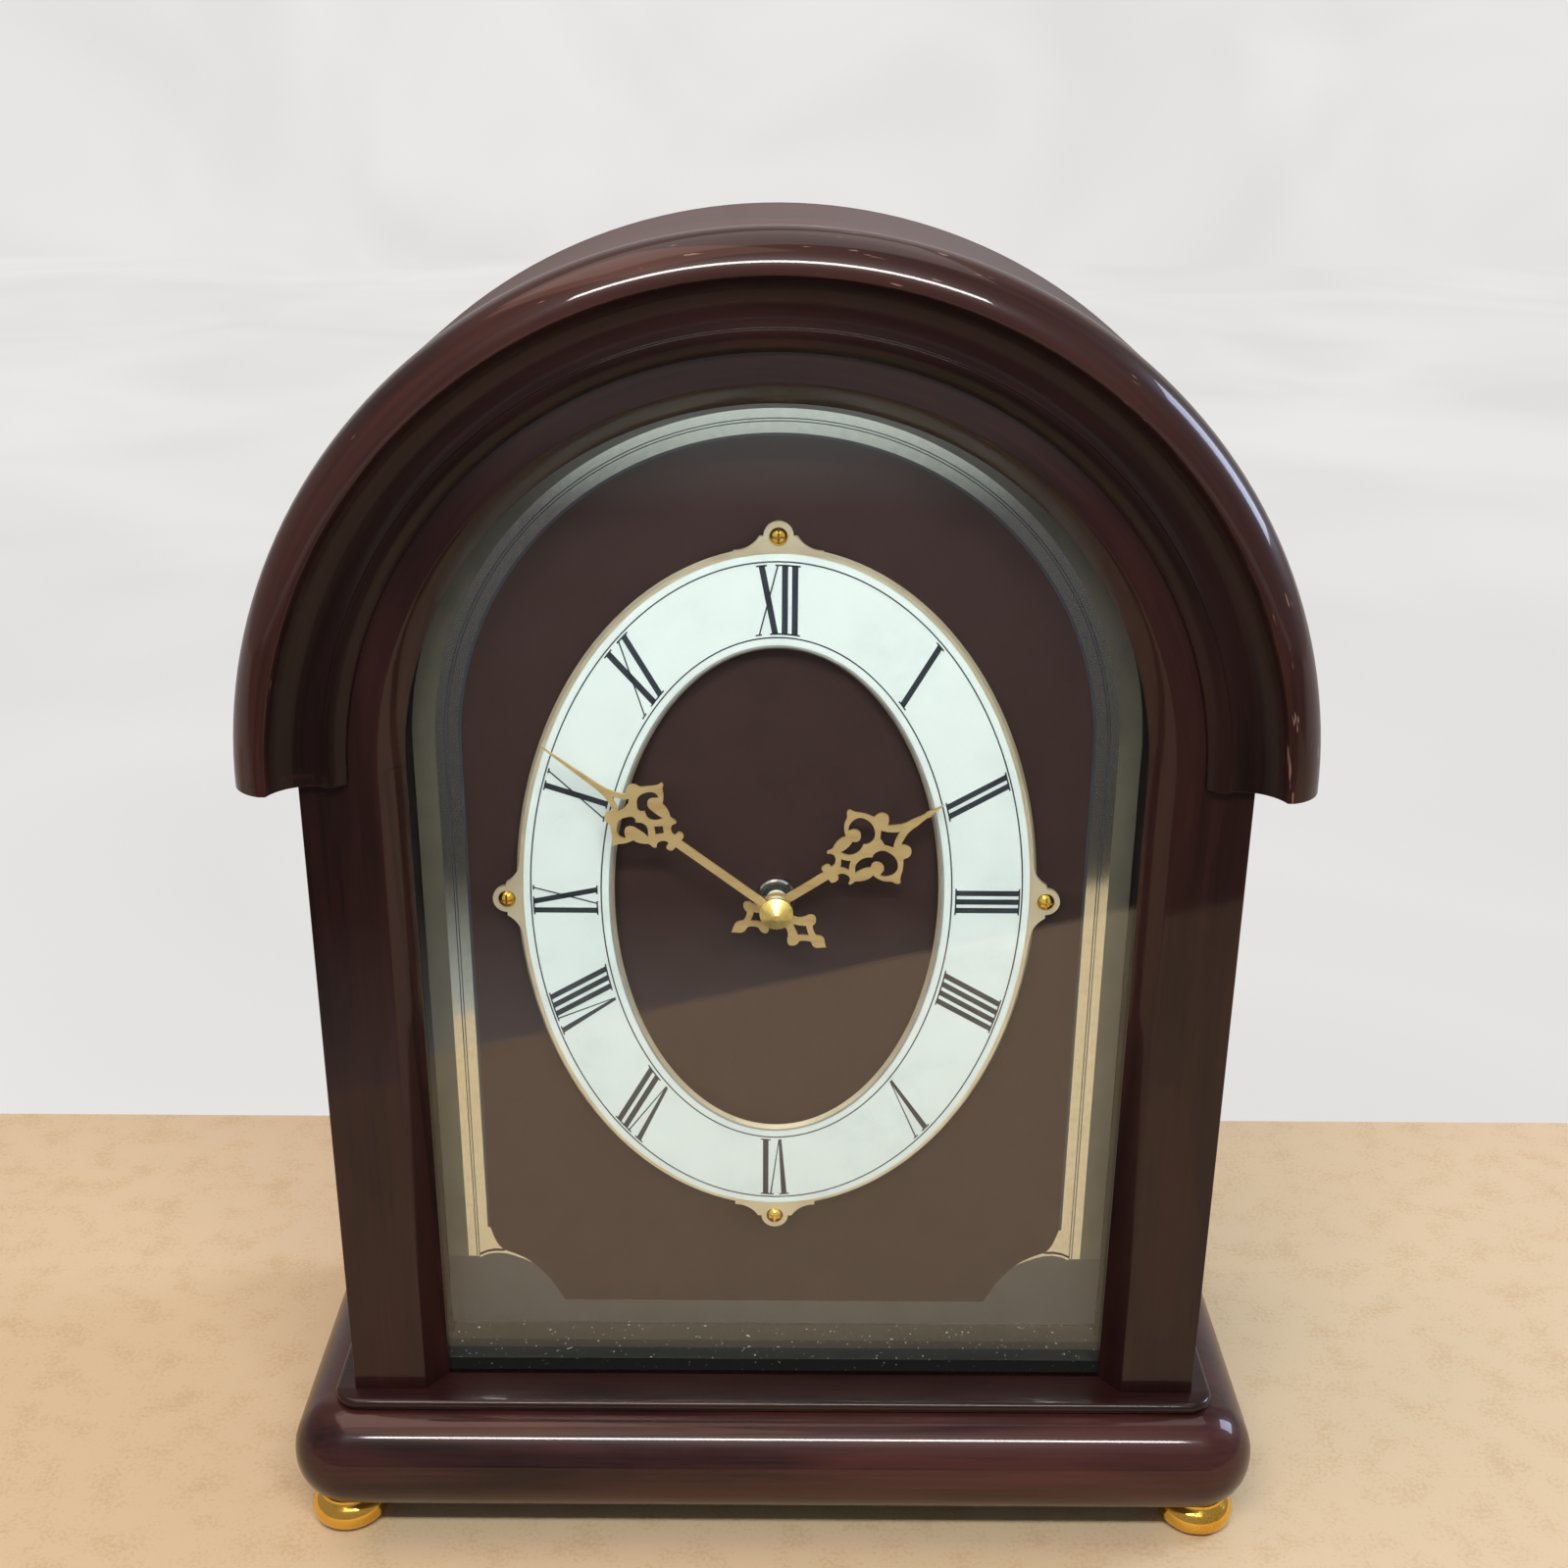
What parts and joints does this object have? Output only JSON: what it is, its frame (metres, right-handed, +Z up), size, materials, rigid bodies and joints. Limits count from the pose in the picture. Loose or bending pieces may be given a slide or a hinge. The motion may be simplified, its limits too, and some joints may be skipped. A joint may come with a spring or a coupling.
{
  "type": "mantel clock",
  "caption": "Round-arched wooden mantel clock with a moulded hood, oval Roman chapter ring, pierced gilt hands, stepped base, bun feet and a quartz chime movement.",
  "frame": {"origin": "on the floor under the middle of the clock's width and depth", "axes": "+Z up, the dial faces -Y, +X to the right seen from the dial side"},
  "size_m": [0.256, 0.128, 0.3391],
  "materials": {
    "mahogany": "gloss lacquer",
    "pine": "sawn",
    "hardboard": "satin",
    "polished_gold": "polished",
    "gilt": "brushed",
    "brass_plate": "satin",
    "zinc_steel": "zinc plated",
    "nickel": "nickel plated",
    "clear_glass": "clear",
    "black_strip": "matte",
    "mirror_plate": "mirror polished, brown printed field",
    "white_enamel": "satin white",
    "rubber_sheet": "matte",
    "black_plastic": "fine texture",
    "white_plastic": "satin",
    "gear_plastic": "satin",
    "board": "phenolic",
    "copper_wire": "enamelled wire",
    "ferrite": "ground",
    "battery_label": "gloss wrap",
    "paper_cone": "pressed pulp",
    "lead_cover": "soft sheath"
  },
  "bodies": {
    "case": {"base_plinth": "mahogany", "base_top_plate": "mahogany", "front_frame": "mahogany", "hood_moulding": "mahogany", "hood_rear_band": "mahogany", "case_shell": "mahogany", "dial_sill": "mahogany", "back_batten": "pine", "back_panel": "hardboard", "foot_front_left": "polished_gold", "foot_front_right": "polished_gold", "foot_rear_left": "polished_gold", "foot_rear_right": "polished_gold", "foot_screws": "zinc_steel", "back_panel_screws": "brass_plate", "dial_plate_screws": "zinc_steel", "movement_screws": "zinc_steel", "speaker_screws": "zinc_steel", "hinge_screws_panel": "brass_plate", "hinge_leaves_panel": "brass_plate", "hinge_pins": "zinc_steel", "door_catch": "white_plastic", "front_glass": "clear_glass", "glass_bead": "black_strip", "dial_plate": "mirror_plate", "chapter_ring": "white_enamel", "ring_posts": "zinc_steel", "ring_screws": "gilt", "fixing_nut": "nickel", "dial_gasket": "rubber_sheet", "movement_case": "black_plastic", "movement_cover": "black_plastic", "circuit_board": "board", "board_parts": "nickel", "motor_stator": "zinc_steel", "motor_coil": "copper_wire", "battery_left": "battery_label", "battery_right": "battery_label", "battery_contacts": "nickel", "speaker_basket": "zinc_steel", "speaker_cone": "paper_cone", "speaker_magnet": "ferrite", "speaker_lead": "lead_cover", "speaker_terminals": "board"},
    "minute": {"minute_arbor": "gear_plastic", "minute_hand": "gilt", "hand_cap_nut": "polished_gold"},
    "hour": {"hour_wheel": "gear_plastic", "hour_hand": "gilt"},
    "motion": {"motion_wheel": "gear_plastic", "set_knob": "black_plastic"},
    "third": {"third_wheel": "gear_plastic"},
    "rotor": {"rotor": "ferrite"},
    "door": {"access_door": "hardboard", "door_knob": "brass_plate", "door_strike": "zinc_steel", "hinge_leaves_door": "brass_plate", "hinge_screws_door": "brass_plate"},
    "melody": {"melody_switch": "white_plastic"},
    "volume": {"volume_dial": "black_plastic"}
  },
  "joints": [
    {"name": "minute_turn", "type": "hinge", "parent": "case", "child": "minute", "pos_m": [0, -0.0344, 0.1755], "axis": [0, 1, 0], "continuous": true},
    {"name": "hour_turn", "type": "hinge", "parent": "case", "child": "hour", "pos_m": [0, -0.0303, 0.1755], "axis": [0, 1, 0], "continuous": true},
    {"name": "motion_turn", "type": "hinge", "parent": "case", "child": "motion", "pos_m": [0.0096, -0.01, 0.1755], "axis": [0, 1, 0], "continuous": true},
    {"name": "third_turn", "type": "hinge", "parent": "case", "child": "third", "pos_m": [-0.00912, -0.01, 0.1755], "axis": [0, 1, 0], "continuous": true},
    {"name": "rotor_turn", "type": "hinge", "parent": "case", "child": "rotor", "pos_m": [-0.01034, -0.002, 0.18239], "axis": [0, 1, 0], "continuous": true},
    {"name": "door_swing", "type": "hinge", "parent": "case", "child": "door", "pos_m": [-0.0586, 0.0565, 0.163], "axis": [0, 0, 1], "range_deg": [0, 170]},
    {"name": "melody_slide", "type": "slide", "parent": "case", "child": "melody", "axis": [1, 0, 0], "range_m": [0, 0.008]},
    {"name": "volume_turn", "type": "hinge", "parent": "case", "child": "volume", "pos_m": [-0.034, 0.01, 0.1695], "axis": [0, 1, 0], "range_deg": [-135, 135]}
  ],
  "couplings": [
    {"joint": "hour_turn", "follows": "minute_turn", "ratio": 0.083333},
    {"joint": "motion_turn", "follows": "minute_turn", "ratio": -0.33333},
    {"joint": "third_turn", "follows": "minute_turn", "ratio": -5},
    {"joint": "rotor_turn", "follows": "minute_turn", "ratio": 30}
  ]
}
